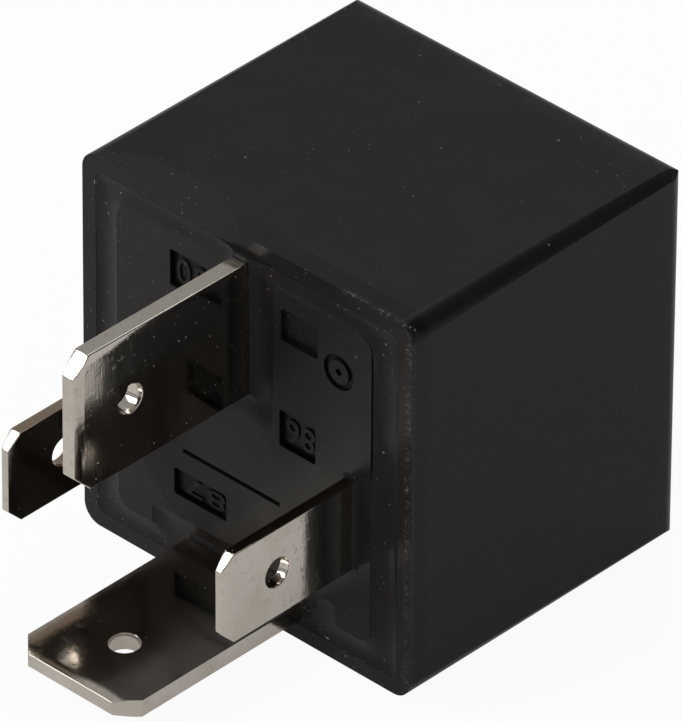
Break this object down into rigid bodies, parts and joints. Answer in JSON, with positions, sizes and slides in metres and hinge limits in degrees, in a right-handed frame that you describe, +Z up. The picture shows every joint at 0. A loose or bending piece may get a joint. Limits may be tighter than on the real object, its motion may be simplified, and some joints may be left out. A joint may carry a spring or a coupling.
{
  "type": "automotive relay",
  "caption": "Cube-shaped sealed relay with a black drafted cover, wide load tabs, narrow coil tabs and a hinged armature that closes a contact inside.",
  "frame": {"origin": "bottom centre of the whole part's box, as it lies on one side of its cover", "axes": "+Z up, +Y from the tabs' ends into the closed end of the cover, +X towards tab 86"},
  "size_m": [0.027, 0.0388, 0.027],
  "materials": {
    "cover_plastic": "matt black, dusty",
    "base_plastic": "matt dark brown-black, dusty",
    "resin": "poured resin, half matt",
    "tinned_tab": "tin plated, half bright",
    "magnet_steel": "zinc plated",
    "core_iron": "turned",
    "bobbin_plastic": "natural polyamide",
    "enamelled_copper": "enamelled wire",
    "spring_bronze": "rolled copper alloy",
    "contact_silver": "silver alloy",
    "rivet_steel": "bright",
    "braid_copper": "woven copper"
  },
  "bodies": {
    "housing": {"cover": "cover_plastic", "base": "base_plastic", "sealing_resin": "resin", "terminal_30": "tinned_tab", "terminal_87": "tinned_tab", "terminal_85": "tinned_tab", "terminal_86": "tinned_tab", "yoke": "magnet_steel", "core": "core_iron", "bobbin": "bobbin_plastic", "coil_winding": "enamelled_copper", "lead_wire_85": "enamelled_copper", "lead_wire_86": "enamelled_copper", "fixed_contact": "contact_silver", "yoke_rivets": "rivet_steel", "braid": "braid_copper", "rest_stop": "magnet_steel"},
    "armature_group": {"armature": "magnet_steel", "contact_spring": "spring_bronze", "moving_contact": "contact_silver", "armature_rivets": "rivet_steel"}
  },
  "joints": [
    {"name": "armature_hinge", "type": "hinge", "parent": "housing", "child": "armature_group", "pos_m": [0, 0.01376, 0.02389], "axis": [-1, 0, 0], "range_deg": [0, 3], "stiffness_Nm_per_rad": 0.05, "springref_deg": -5.73, "deforming": ["contact_spring"]}
  ]
}
